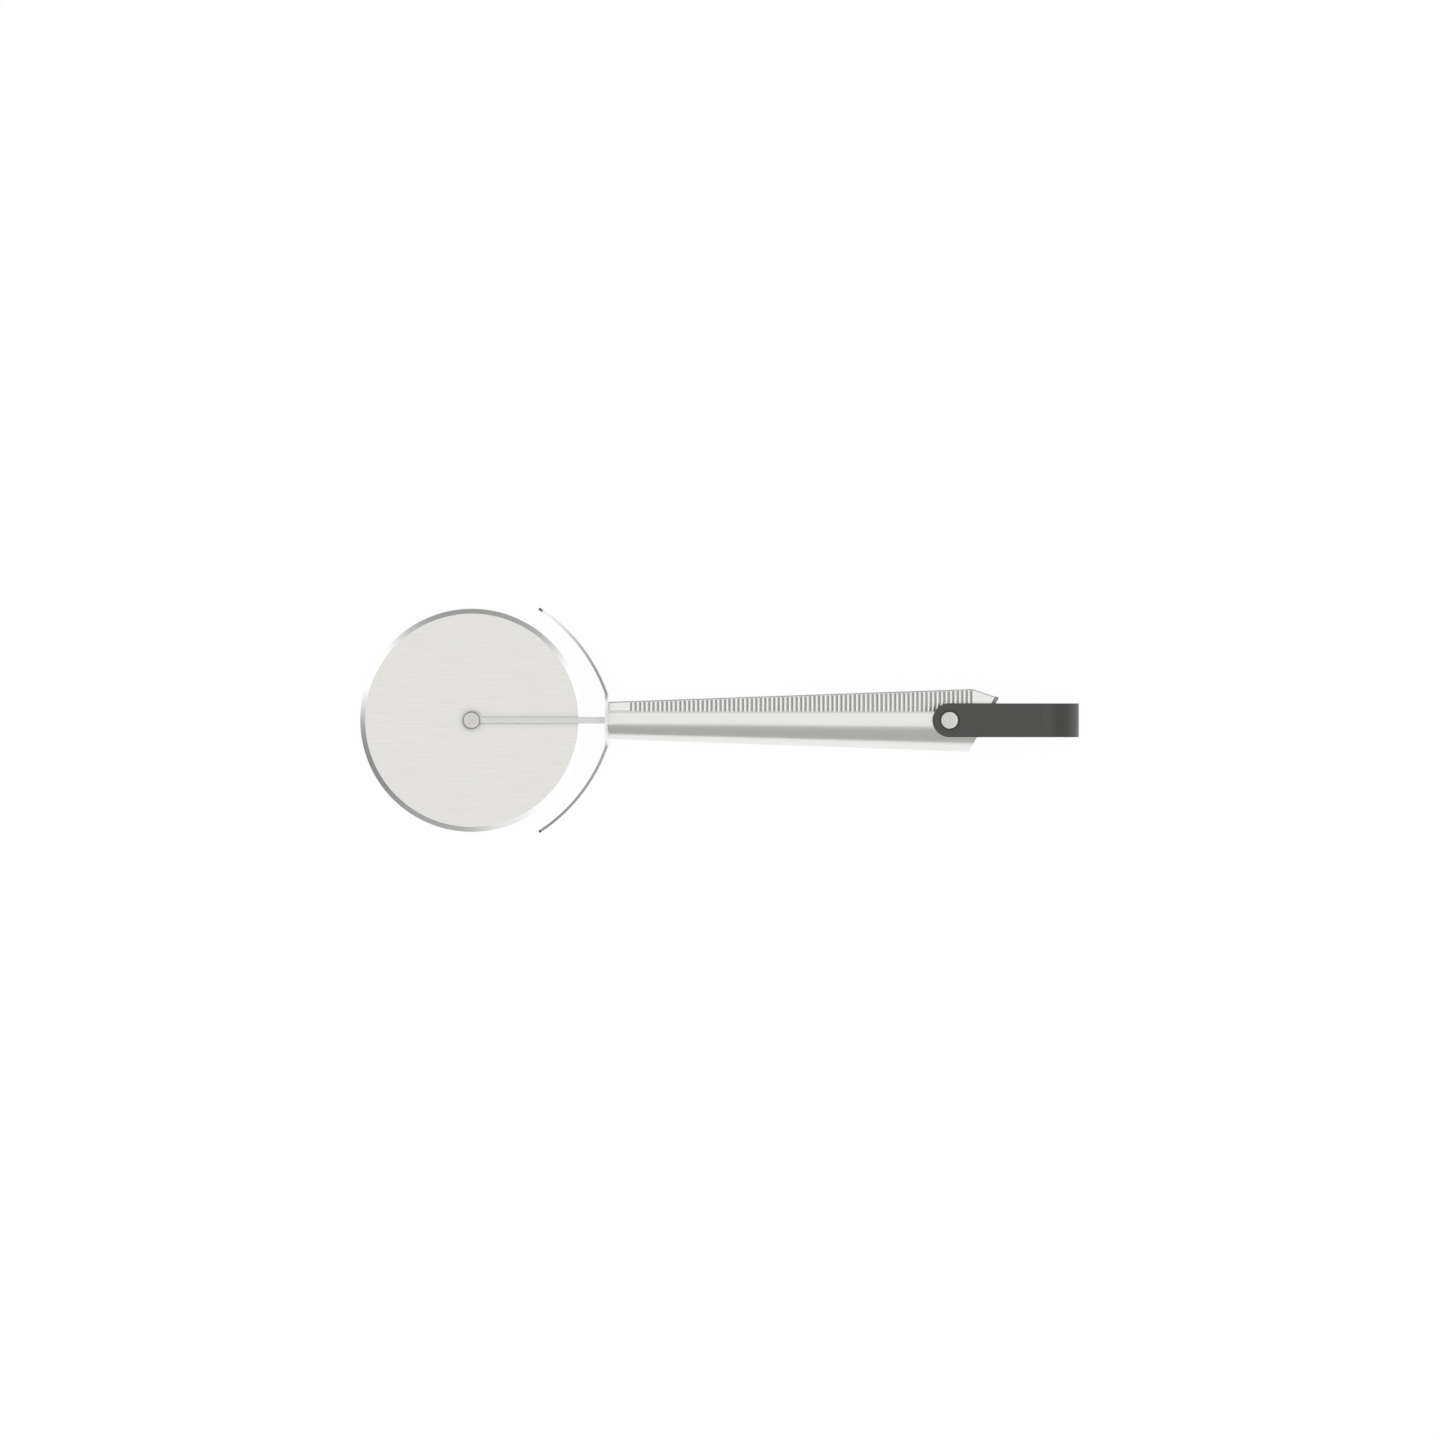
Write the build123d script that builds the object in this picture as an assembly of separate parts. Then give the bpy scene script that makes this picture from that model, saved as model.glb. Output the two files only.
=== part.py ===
from build123d import *

import math
import os

# Pizza cutter wheel, lying on its side. All lengths are in millimetres.
# X runs along the handle from the blade to the strap, Y runs from the round back
# of the handle to its ribbed edge, and Z runs along the axle.
# The origin is below the middle of the whole tool, on the surface it lies on.

# Blade
blade_diameter = 100.0
blade_thickness = 1.2
bevel_width = 2.2
cutting_edge_thickness = 0.15

# Hub and axle
axle_diameter = 4.5
axle_head_diameter = 7.5
axle_head_height = 1.1
axle_head_rounding = 0.3
peened_end_diameter = 3.0
hub_spigot_diameter = 6.5
hub_shoulder_diameter = 9.0
hub_shoulder_height = 1.9
thrust_washer_thickness = 0.5
running_clearance = 0.05
face_clearance = 0.2

# Fork
eye_diameter = 9.2
eye_thickness = 3.2
eye_chamfer = 0.5
eye_recess_diameter = 7.9
eye_recess_depth = 1.0
arm_width = 2.8
arm_depth = 3.2
arm_step_height = 0.5
arm_step_length = 2.7
arm_edge_rounding = 0.4
bridge_length = 4.4
tang_diameter = 5.0
tang_end_length = 2.5

# Guard
guard_gap = 9.9
guard_sheet = 1.2
guard_width = 34.0
guard_flat_height = 23.2
guard_tip_span = 100.0
guard_tip_setback = 30.9
guard_arc_radius = 74.8
guard_level_length = 5.0
guard_shoulder_radius = 38.0
guard_taper_angle = 14.5
guard_tip_corner = 1.2

# Handle outside
collar_gap = 0.4
handle_length = 174.4
handle_front_height = 16.8
handle_rear_height = 29.1
handle_front_width = 16.0
handle_rear_width = 27.8
top_edge_radius = 0.8
rear_slope_length = 11.8
rear_slope_drop = 4.4
end_rake_angle = 61.0

# Handle shell
shell_wall = 1.2
shell_edge_height = 3.8
fit_clearance = 0.1
seam_gap = 0.15

# Ribbed insert
insert_side_wall = 2.6
insert_top_wall = 2.0
tongue_depth = 3.4
rib_pitch = 2.0
groove_width = 1.0
groove_depth = 0.8
groove_top_margin = 0.8
ribbed_end_margin = 0.15

# Front plug and end cap
nose_length = 9.4
plug_seam = 0.3
end_cap_thickness = 1.6
end_cap_chamfer = 0.4
cap_spigot_wall = 1.4
cap_spigot_length = 5.0

# Tang nut and washer
nut_across_flats = 8.0
nut_height = 4.0
nut_washer_diameter = 10.0
nut_washer_thickness = 1.0

# Strap and its rivet
strap_width = 15.1
strap_thickness = 2.5
strap_inner_width = 29.0
strap_reach = 58.4
rivet_setback = 22.2
rivet_diameter = 5.0
rivet_head_diameter = 7.7
rivet_head_height = 0.9
rivet_head_rounding = 0.25
rivet_head_recess = 0.2
counterbore_diameter = 9.3
rivet_peened_diameter = 3.4
spacer_diameter = 8.0
strap_washer_diameter = 11.0

# How far every cutting solid runs past what it cuts, and the points on the guard's outline
overrun = 5.0
guard_outline_steps = 16

# Places that follow from the sizes
blade_radius = blade_diameter / 2
axle_to_guard = blade_radius + guard_gap
guard_to_rivet = guard_sheet + collar_gap + handle_length - rivet_setback
overall_length = blade_radius + axle_to_guard + guard_to_rivet + strap_reach
axle_x = blade_radius - overall_length / 2
guard_inner_x = axle_x + axle_to_guard
guard_outer_x = guard_inner_x + guard_sheet
shell_front_x = guard_outer_x + collar_gap
shell_end_x = shell_front_x + handle_length
rivet_x = shell_end_x - rivet_setback
strap_end_x = rivet_x + strap_reach
strap_outer_width = strap_inner_width + 2 * strap_thickness
mid_z = max(strap_outer_width, guard_width) / 2
nose_end_x = shell_front_x + nose_length
insert_front_x = nose_end_x + groove_width
slope_start_x = shell_end_x - rear_slope_length
slope_end_y = handle_rear_height / 2 - rear_slope_drop
taper_per_length = (handle_rear_height - handle_front_height) / 2 / handle_length
slope_fall = rear_slope_drop - rear_slope_length * taper_per_length
insert_low_y = shell_edge_height + seam_gap

# Heights above the middle plane of the blade
hub_face_z = blade_thickness / 2 + hub_shoulder_height
washer_inner_z = hub_face_z + face_clearance
eye_inner_z = washer_inner_z + thrust_washer_thickness
eye_outer_z = eye_inner_z + eye_thickness
arm_inner_z = eye_inner_z + arm_step_height
arm_outer_z = arm_inner_z + arm_depth
axle_head_z = eye_outer_z - eye_recess_depth
strap_inner_z = strap_inner_width / 2
strap_outer_z = strap_outer_width / 2
rivet_head_top_z = strap_outer_z - rivet_head_recess
rivet_head_base_z = rivet_head_top_z - rivet_head_height
counterbore_z = rivet_head_base_z - face_clearance
strap_washer_z = strap_inner_z - face_clearance


def turned(profile, x):
    """A solid of revolution about Z at x, from (radius, height) points."""
    face = Plane.XZ * make_face(Polyline(*profile, close=True))
    return Pos(x, 0, mid_z) * revolve(face, axis=Axis.Z)


def ring(inner_diameter, outer_diameter, low, high, x):
    """A plain washer or tube."""
    inner, outer = inner_diameter / 2, outer_diameter / 2
    return turned([(inner, low), (outer, low), (outer, high), (inner, high)], x)


def rod(diameter, low, high, x):
    """A plain cylinder, solid to its centre."""
    radius = diameter / 2
    return turned([(0, low), (radius, low), (radius, high), (0, high)], x)


def head(diameter, rounding, low, high, x):
    """A flat round head, its upper rim drawn in."""
    radius = diameter / 2
    profile = [(0, low), (radius, low), (radius, high - rounding), (radius - rounding, high), (0, high)]
    return turned(profile, x)


def below(shape):
    """The same piece on the other side of the middle plane."""
    return mirror(shape, about=Plane.XY.offset(mid_z))


def block(low_x, high_x, low_y, high_y, low_z, high_z):
    """A box between two corners, with its heights above the middle plane."""
    sizes = (high_x - low_x, high_y - low_y, high_z - low_z)
    centre = ((low_x + high_x) / 2, (low_y + high_y) / 2, mid_z + (low_z + high_z) / 2)
    return Pos(*centre) * Box(*sizes)


def half_height(x):
    """Half of the handle's height at x, on its straight taper."""
    share = (x - shell_front_x) / handle_length
    return (handle_front_height + share * (handle_rear_height - handle_front_height)) / 2


def half_width(x):
    """Half of the handle's width at x, on its straight taper."""
    share = (x - shell_front_x) / handle_length
    return (handle_front_width + share * (handle_rear_width - handle_front_width)) / 2


def handle_section(x, side_inset, top_inset, back_inset):
    """The handle's closed outline at x: flat top, straight walls, elliptical back."""
    top = half_height(x) - top_inset
    back = half_height(x) - back_inset
    side = half_width(x) - side_inset
    shoulder = top - top_edge_radius
    corner = side - top_edge_radius
    plane = Plane(origin=(x, 0, mid_z), x_dir=(0, 1, 0), z_dir=(1, 0, 0))
    edges = [
        Line((0, -side), (shoulder, -side)),
        TangentArc((shoulder, -side), (top, -corner), tangent=(1, 0)),
        Line((top, -corner), (top, corner)),
        TangentArc((top, corner), (shoulder, side), tangent=(0, 1)),
        Line((shoulder, side), (0, side)),
        EllipticalCenterArc((0, 0), back, side, start_angle=90, arc_size=90),
        EllipticalCenterArc((0, 0), back, side, start_angle=180, arc_size=90),
    ]
    return plane * make_face(edges)


def handle_form(side_inset, top_inset, back_inset, low_x, high_x):
    """The handle's tapered solid between two places, drawn in by the insets."""
    insets = (side_inset, top_inset, back_inset)
    return loft([handle_section(low_x, *insets), handle_section(high_x, *insets)], ruled=True)


def end_plane_x(y, setback):
    """Where the oblique end lies at height y, moved in by setback along its normal."""
    slant = math.tan(math.radians(end_rake_angle))
    return shell_end_x + (y - slope_end_y) / slant - setback / math.sin(math.radians(end_rake_angle))


def side_region(low_x, low_y, high_y, setback):
    """All that lies between two heights, behind low_x and in front of the oblique end."""
    outline = Polyline(
        (low_x, low_y),
        (end_plane_x(low_y, setback), low_y),
        (end_plane_x(high_y, setback), high_y),
        (low_x, high_y),
        close=True,
    )
    reach = handle_rear_width + overrun
    return Pos(0, 0, mid_z) * extrude(make_face(outline), amount=reach, both=True)


def upper_wedge(side_inset, top_inset, low_x, low_y, setback):
    """The straight-walled upper part of the handle, from low_y to its top and slope."""
    slope_drop = top_inset * math.hypot(rear_slope_length, slope_fall) / rear_slope_length
    end_y = slope_end_y - slope_drop
    outline = Polyline(
        (low_x, low_y),
        (end_plane_x(low_y, setback), low_y),
        (end_plane_x(end_y, setback), end_y),
        (slope_start_x, slope_end_y + slope_fall - top_inset),
        (low_x, half_height(low_x) - top_inset),
        close=True,
    )
    side = Pos(0, 0, mid_z) * extrude(make_face(outline), amount=handle_rear_width, both=True)
    high_x = shell_end_x + overrun
    low_half, high_half = half_width(low_x) - side_inset, half_width(high_x) - side_inset
    plan = Polyline(
        (low_x, -low_half), (high_x, -high_half), (high_x, high_half), (low_x, low_half), close=True
    )
    taper = extrude(Plane.XZ * make_face(plan), amount=handle_rear_height, both=True)
    return side & (Pos(0, 0, mid_z) * taper)


def is_long_top_edge(edge, face):
    """Whether an edge runs along the side of a face that looks up."""
    offset = abs(edge.center().Z - mid_z)
    return face.normal_at().Y > 0.5 and offset > half_width(edge.center().X) / 2


def arc_centre(start, end, radius):
    """The centre of an arc that bulges away from the axle."""
    middle = ((start[0] + end[0]) / 2, (start[1] + end[1]) / 2)
    chord = math.dist(start, end)
    along = ((end[0] - start[0]) / chord, (end[1] - start[1]) / chord)
    reach = math.sqrt(radius**2 - (chord / 2) ** 2)
    return (middle[0] - along[1] * reach, middle[1] + along[0] * reach)


# Wheel
def make_blade():
    """The wheel, with a bevel on both faces."""
    bore = hub_spigot_diameter / 2
    face = blade_thickness / 2
    edge = cutting_edge_thickness / 2
    shoulder = blade_radius - bevel_width
    profile = [
        (bore, -face),
        (shoulder, -face),
        (blade_radius, -edge),
        (blade_radius, edge),
        (shoulder, face),
        (bore, face),
    ]
    return turned(profile, axle_x)


def make_hub_bush():
    """Half of the hub: a shoulder on the blade and a spigot in its hole."""
    bore = axle_diameter / 2 + running_clearance
    spigot = hub_spigot_diameter / 2
    shoulder = hub_shoulder_diameter / 2
    face = blade_thickness / 2
    profile = [
        (bore, 0),
        (spigot, 0),
        (spigot, face),
        (shoulder, face),
        (shoulder, hub_face_z),
        (bore, hub_face_z),
    ]
    return turned(profile, axle_x)


# Axle
def make_axle_pin():
    """The pin, with its head in the upper eye and a thin end for the lower head."""
    top_z = axle_head_z + axle_head_height
    shank = rod(axle_diameter, -axle_head_z, axle_head_z, axle_x)
    end = rod(peened_end_diameter, -top_z, -axle_head_z, axle_x)
    return shank + end + head(axle_head_diameter, axle_head_rounding, axle_head_z, top_z, axle_x)


def make_axle_pin_cap():
    """The head on the pin's thin end."""
    top_z = axle_head_z + axle_head_height
    cap = head(axle_head_diameter, axle_head_rounding, axle_head_z, top_z, axle_x)
    return below(cap - rod(peened_end_diameter, eye_inner_z, arm_outer_z, axle_x))


def make_thrust_washer():
    """The washer between the hub and the upper eye."""
    bore = axle_diameter + 2 * running_clearance
    return ring(bore, hub_shoulder_diameter, washer_inner_z, eye_inner_z, axle_x)


# Fork
def make_fork():
    """Two arms with eyes, joined by a bridge that carries the threaded tang."""
    step_start_x = axle_x + eye_diameter / 2
    step_end_x = step_start_x + arm_step_length
    bridge_x = guard_inner_x - bridge_length
    upper_arm = [
        (bridge_x, arm_inner_z),
        (step_end_x, arm_inner_z),
        (step_start_x, eye_inner_z),
        (axle_x, eye_inner_z),
        (axle_x, eye_outer_z),
        (step_start_x, eye_outer_z),
        (step_end_x, arm_outer_z),
        (guard_inner_x, arm_outer_z),
    ]
    lower_arm = [(x, -z) for x, z in reversed(upper_arm)]
    outline = make_face(Polyline(*upper_arm, *lower_arm, close=True))
    plate = extrude(Plane.XZ * outline, amount=arm_width / 2, both=True)
    plate = Pos(0, 0, mid_z) * plate
    arm_edges = plate.edges().filter_by(Axis.X)
    plate = chamfer(arm_edges, length=arm_edge_rounding)
    radius = eye_diameter / 2
    eye = turned(
        [
            (0, eye_inner_z),
            (radius, eye_inner_z),
            (radius, eye_outer_z - eye_chamfer),
            (radius - eye_chamfer, eye_outer_z),
            (0, eye_outer_z),
        ],
        axle_x,
    )
    recess = rod(eye_recess_diameter, axle_head_z, arm_outer_z + overrun, axle_x)
    bore = rod(axle_diameter, -arm_outer_z, arm_outer_z, axle_x)
    tang_length = guard_sheet + collar_gap + nose_length + groove_width
    tang_length += nut_washer_thickness + nut_height + tang_end_length
    tang = Plane(origin=(guard_inner_x, 0, mid_z), z_dir=(1, 0, 0)) * extrude(
        Circle(tang_diameter / 2), amount=tang_length
    )
    return plate + eye + below(eye) + tang - recess - below(recess) - bore


# Guard
def guard_half_height(run):
    """Half of the guard's height at a distance from its middle, measured along the strip."""
    taper = math.radians(guard_taper_angle)
    shoulder_run = guard_level_length / 2 + guard_shoulder_radius * math.sin(taper)
    shoulder_drop = guard_shoulder_radius * (1 - math.cos(taper))
    if run > shoulder_run:
        return guard_width / 2 - shoulder_drop - math.tan(taper) * (run - shoulder_run)
    past_level = run - guard_level_length / 2
    drop = guard_shoulder_radius - math.sqrt(guard_shoulder_radius**2 - past_level**2)
    return guard_width / 2 - drop


def guard_blank(flat_end_y, tip_y, centre_y):
    """The ribbed side's half of the guard's outline, seen along the handle."""
    mid_radius = guard_arc_radius + guard_sheet / 2
    start, end = (math.asin((y - centre_y) / guard_arc_radius) for y in (flat_end_y, tip_y))
    level_run = guard_level_length / 2
    run_step = (flat_end_y + mid_radius * (end - start) - level_run) / guard_outline_steps
    edge = []
    for step in range(guard_outline_steps + 1):
        run = level_run + run_step * step
        y = run
        if run > flat_end_y:
            y = centre_y + mid_radius * math.sin(start + (run - flat_end_y) / mid_radius)
        edge.append((y, guard_half_height(run)))
    taper = math.tan(math.radians(guard_taper_angle))
    top = Spline(*edge, tangents=[(1, 0), (math.cos(end), -taper)])
    (level_y, level_z), (end_y, end_z) = edge[0], edge[-1]
    outline = [Line((0, -level_z), (0, level_z)), Line((0, level_z), (level_y, level_z)), top]
    outline += [Line((end_y, end_z), (end_y, -end_z)), mirror(top, about=Plane.XZ)]
    outline += [Line((level_y, -level_z), (0, -level_z))]
    blank = make_face(outline)
    return fillet(blank.vertices().group_by(Axis.X)[-1], guard_tip_corner)


def make_guard():
    """The bent strip: a flat, then an arc to each blunt tip, narrower all the way."""
    flat_end = (guard_inner_x, guard_flat_height / 2)
    tip = (guard_inner_x - guard_tip_setback, guard_tip_span / 2)
    centre = arc_centre(flat_end, tip, guard_arc_radius)
    outer_radius = guard_arc_radius + guard_sheet
    outer_flat_y = centre[1] + math.sqrt(outer_radius**2 - (guard_outer_x - centre[0]) ** 2)
    tip_share = outer_radius / guard_arc_radius
    outer_tip = tuple(c + (t - c) * tip_share for c, t in zip(centre, tip))
    inner_arc = RadiusArc(flat_end, tip, -guard_arc_radius)
    outer_arc = RadiusArc((guard_outer_x, outer_flat_y), outer_tip, -outer_radius)
    upper = [
        Line((guard_inner_x, 0), flat_end),
        inner_arc,
        Line(tip, outer_tip),
        outer_arc,
        Line((guard_outer_x, outer_flat_y), (guard_outer_x, 0)),
        Line((guard_outer_x, 0), (guard_inner_x, 0)),
    ]
    half = Pos(0, 0, mid_z) * extrude(make_face(upper), amount=guard_width / 2, both=True)
    blank = guard_blank(flat_end[1], tip[1], centre[1])
    blank_plane = Plane(origin=(axle_x, 0, mid_z), x_dir=(0, 1, 0), z_dir=(1, 0, 0))
    half = half & (blank_plane * extrude(blank, amount=overall_length))
    strip = half + mirror(half, about=Plane.XZ)
    hole = extrude(Circle(tang_diameter / 2 + fit_clearance), amount=overall_length)
    return strip - blank_plane * hole


# Handle
def make_handle_shell(rivet_hole):
    """The U-shaped trough, open at the top and cut off obliquely at the rear."""
    rear_x = shell_end_x + overrun
    outer = handle_form(0, 0, 0, shell_front_x, rear_x)
    inner = handle_form(shell_wall, 0, shell_wall, shell_front_x - overrun, rear_x + overrun)
    region = side_region(shell_front_x, -handle_rear_height, shell_edge_height, 0)
    return (outer & region) - inner - rivet_hole


def make_grip_insert():
    """The ribbed channel on top of the trough, with a tongue down inside each wall."""
    setback = end_cap_thickness + seam_gap
    body = upper_wedge(0, 0, insert_front_x, insert_low_y, setback)
    top_edges = [e for f in body.faces() for e in f.edges() if is_long_top_edge(e, f)]
    body = fillet(top_edges, radius=top_edge_radius)
    tongue_low_y = shell_edge_height - tongue_depth
    tongue_setback = setback + cap_spigot_length + seam_gap
    tongue = upper_wedge(
        shell_wall + fit_clearance, insert_top_wall, insert_front_x, tongue_low_y, tongue_setback
    )
    hollow = upper_wedge(
        insert_side_wall, insert_top_wall, insert_front_x, tongue_low_y - overrun, -overrun
    )
    relief = rod(spacer_diameter + 2 * face_clearance, -strap_inner_z, strap_inner_z, rivet_x)
    return body + tongue - hollow - relief - groove_cutters()


def groove_cutters():
    """Slots down both sides, one for each groove."""
    first_x = insert_front_x + rib_pitch - groove_width
    last_x = slope_start_x - ribbed_end_margin - groove_width
    count = int((last_x - first_x) / rib_pitch) + 1
    slots = []
    for number in range(count):
        x = first_x + number * rib_pitch
        high_y = half_height(x) - groove_top_margin
        floor_z = half_width(x) - groove_depth
        low_y = insert_low_y - overrun
        slot = block(x, x + groove_width, low_y, high_y, floor_z, floor_z + overrun)
        slots += [slot, below(slot)]
    return slots


def make_front_plug():
    """Closes the front: a core inside the shell and a plain block flush with the ribs."""
    core_inset = shell_wall + fit_clearance
    core = handle_form(core_inset, 0, core_inset, guard_outer_x, insert_front_x)
    outer = handle_form(0, 0, 0, shell_front_x, nose_end_x)
    block_low = shell_edge_height + plug_seam
    shown = outer & side_region(shell_front_x, block_low, handle_rear_height, 0)
    bore = Plane(origin=(guard_outer_x, 0, mid_z), z_dir=(1, 0, 0)) * extrude(
        Circle(tang_diameter / 2 + fit_clearance), amount=insert_front_x - guard_outer_x
    )
    return core + shown - bore


def make_end_cap():
    """The oblique plate inside the end of the shell and over the end of the insert."""
    rear_x = shell_end_x + overrun
    start_x = shell_end_x - handle_rear_height
    outer = side_region(start_x, -handle_rear_height, handle_rear_height, 0)
    inner = side_region(start_x - overrun, -handle_rear_height, handle_rear_height, end_cap_thickness)
    slope = upper_wedge(-overrun, 0, start_x - overrun, -handle_rear_height, 0)
    plate = handle_form(0, 0, 0, start_x, rear_x) & outer & slope
    plate = plate - inner
    rim = plate.faces().sort_by(SortBy.AREA)[-2:].sort_by(Axis.X)[-1].edges()
    plate = chamfer(rim, length=end_cap_chamfer)
    outer_inset = shell_wall + fit_clearance
    inner_inset = outer_inset + cap_spigot_wall
    core = handle_form(outer_inset, 0, outer_inset, start_x - overrun, rear_x + overrun)
    shell_space = side_region(start_x, -handle_rear_height, insert_low_y, 0)
    plate = plate - (shell_space - core)
    spigot = handle_form(outer_inset, 0, outer_inset, start_x, rear_x)
    spigot = spigot - handle_form(inner_inset, 0, inner_inset, start_x - overrun, rear_x + overrun)
    low_y, high_y = -handle_rear_height, shell_edge_height - tongue_depth
    front_setback = end_cap_thickness + cap_spigot_length
    spigot = spigot & side_region(start_x, low_y, high_y, end_cap_thickness)
    spigot = spigot - side_region(start_x - overrun, low_y, high_y, front_setback)
    return plate + spigot


def make_tang_nut():
    """The hexagonal nut on the tang, flats towards the sides of the handle."""
    x = insert_front_x + nut_washer_thickness
    plane = Plane(origin=(x, 0, mid_z), x_dir=(0, 1, 0), z_dir=(1, 0, 0))
    corner_radius = nut_across_flats / 2 / math.cos(math.radians(30))
    nut = RegularPolygon(corner_radius, 6) - Circle(tang_diameter / 2)
    return plane * extrude(nut, amount=nut_height)


def make_tang_washer():
    """The washer between the plug and the nut."""
    plane = Plane(origin=(insert_front_x, 0, mid_z), z_dir=(1, 0, 0))
    washer = Circle(nut_washer_diameter / 2) - Circle(tang_diameter / 2 + fit_clearance)
    return plane * extrude(washer, amount=nut_washer_thickness)


# Strap
def make_strap():
    """The folded loop: two flat legs with rounded ends and a round fold between them."""
    bend_x = strap_end_x - strap_outer_z
    legs = block(
        rivet_x, bend_x, -strap_width / 2, strap_width / 2, -strap_outer_z, strap_outer_z
    )
    ends = rod(strap_width, -strap_outer_z, strap_outer_z, rivet_x)
    fold = Pos(bend_x, 0, mid_z) * Rot(90, 0, 0) * Cylinder(strap_outer_z, strap_width)
    space = block(
        rivet_x - strap_width, bend_x, -strap_width, strap_width, -strap_inner_z, strap_inner_z
    )
    fold_space = Cylinder(strap_inner_z, strap_width + overrun)
    fold_space = Pos(bend_x, 0, mid_z) * Rot(90, 0, 0) * fold_space
    hole = rod(rivet_diameter + 2 * running_clearance, -strap_outer_z, strap_outer_z, rivet_x)
    counterbore = rod(counterbore_diameter, counterbore_z, strap_outer_z + overrun, rivet_x)
    strap = legs + ends + fold - space - fold_space - hole
    return strap - counterbore - below(counterbore)


def make_strap_rivet():
    """The rivet, from the upper head to the thin end that holds the lower head."""
    shank = rod(rivet_diameter, -rivet_head_base_z, rivet_head_base_z, rivet_x)
    end = rod(rivet_peened_diameter, -rivet_head_top_z, -rivet_head_base_z, rivet_x)
    return shank + end + make_rivet_head()


def make_rivet_head():
    """The head sunk in the upper leg of the strap."""
    low, high = rivet_head_base_z, rivet_head_top_z
    return head(rivet_head_diameter, rivet_head_rounding, low, high, rivet_x)


def make_strap_rivet_cap():
    """The head on the rivet's thin end."""
    hole = rod(rivet_peened_diameter, strap_inner_z, strap_outer_z, rivet_x)
    return below(make_rivet_head() - hole)


def make_strap_spacer():
    """The tube round the rivet between the walls of the shell."""
    tube = ring(
        rivet_diameter + 2 * running_clearance, spacer_diameter, -strap_inner_z, strap_inner_z,
        rivet_x,
    )
    inset = shell_wall
    return tube & handle_form(inset, 0, inset, rivet_x - spacer_diameter, rivet_x + spacer_diameter)


def make_strap_washer():
    """The washer between the side of the handle and the upper leg of the strap."""
    bore = rivet_diameter + 2 * running_clearance
    washer = ring(bore, strap_washer_diameter, 0, strap_washer_z, rivet_x)
    low_x, high_x = rivet_x - strap_washer_diameter, rivet_x + strap_washer_diameter
    return washer - handle_form(0, 0, 0, low_x, high_x)


rivet_hole = rod(rivet_diameter + 2 * running_clearance, -strap_inner_z, strap_inner_z, rivet_x)
hub_bush = make_hub_bush()
thrust_washer = make_thrust_washer()
strap_washer = make_strap_washer()

nodes = {
    "blade": make_blade(),
    "hub_bush_upper": hub_bush,
    "hub_bush_lower": below(hub_bush),
    "axle_pin": make_axle_pin(),
    "axle_pin_cap": make_axle_pin_cap(),
    "thrust_washer_upper": thrust_washer,
    "thrust_washer_lower": below(thrust_washer),
    "fork": make_fork(),
    "guard": make_guard(),
    "handle_shell": make_handle_shell(rivet_hole),
    "grip_insert": make_grip_insert(),
    "front_plug": make_front_plug(),
    "end_cap": make_end_cap(),
    "tang_washer": make_tang_washer(),
    "tang_nut": make_tang_nut(),
    "strap": make_strap(),
    "strap_rivet": make_strap_rivet(),
    "strap_rivet_cap": make_strap_rivet_cap(),
    "strap_spacer": make_strap_spacer(),
    "strap_washer_upper": strap_washer,
    "strap_washer_lower": below(strap_washer),
}

os.makedirs("parts", exist_ok=True)
for name, shape in nodes.items():
    export_step(shape, f"parts/{name}.step")
    print(name, len(shape.solids()), round(shape.volume, 1))
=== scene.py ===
import math

import bmesh
import bpy
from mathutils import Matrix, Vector


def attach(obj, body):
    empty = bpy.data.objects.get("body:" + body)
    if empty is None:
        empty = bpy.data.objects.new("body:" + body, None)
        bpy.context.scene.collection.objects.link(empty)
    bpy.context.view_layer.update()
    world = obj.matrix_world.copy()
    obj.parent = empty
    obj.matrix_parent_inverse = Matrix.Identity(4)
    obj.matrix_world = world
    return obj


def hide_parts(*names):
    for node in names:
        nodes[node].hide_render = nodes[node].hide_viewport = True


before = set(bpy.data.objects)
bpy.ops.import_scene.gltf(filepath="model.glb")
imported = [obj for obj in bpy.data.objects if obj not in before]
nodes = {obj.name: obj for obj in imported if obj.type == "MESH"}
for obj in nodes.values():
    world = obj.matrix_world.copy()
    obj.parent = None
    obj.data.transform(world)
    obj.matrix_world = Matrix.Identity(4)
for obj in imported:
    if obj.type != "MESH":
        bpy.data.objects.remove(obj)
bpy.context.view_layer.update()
mm = 0.001

# how close points lie to count as one: metres for cuts and merges, millimetres for a line's ends
slacks = {"cut": 1e-7, "merge": 1e-6, "lineEnd": 1e-3}
facing = 0.9  # how far a normal leans to an axis when its face looks that way
turnSteps = 96

# places shared by all pieces, in millimetres along the row's axes
places = {
    "axleX": -111.05,
    "guardInnerX": -51.15,
    "guardOuterX": -49.95,
    "shellFrontX": -49.55,
    "rivetX": 102.65,
    "slopeStartX": 113.05,
    "shellEndX": 124.85,
    "slopeEndY": 10.15,
    "midZ": 17.0,
}

# camera, floor and light
view = {"x": 0.19, "y": 0.13, "height": 4017.0, "lens": 223.1, "sensor": 36.0, "clipEnd": 100.0}
floorValues = {"size": 8.0, "white": 0.86, "glow": 0.95}
softLamp = {"size": 4.0, "height": 5.0, "power": 150.0}
# the studio as metal sees it: a sheet of light overhead, with four edges drawn on the plane
# of east and north tilts, each as its normal and how far out it lies, and the walls beyond
studio = {
    "leastRise": 0.001,
    "middle": 0.94,
    "middleEnd": 0.12,
    "sheet": 1.25,
    "sheetStart": 0.42,
    "westWalls": 0.31,
    "eastWalls": 0.42,
    "wallsTurn": (-0.5, 0.2),
    "southWalls": 0.10,
    "southTurn": (-0.3, -0.5),
    "softness": 0.11,
    "farInside": -10.0,
    "edges": [(0.100, 0.995, 0.370), (-0.683, -0.731, 0.340), (0.139, -0.990, 0.525), (1.0, 0.0, 0.75)],
}


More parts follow.
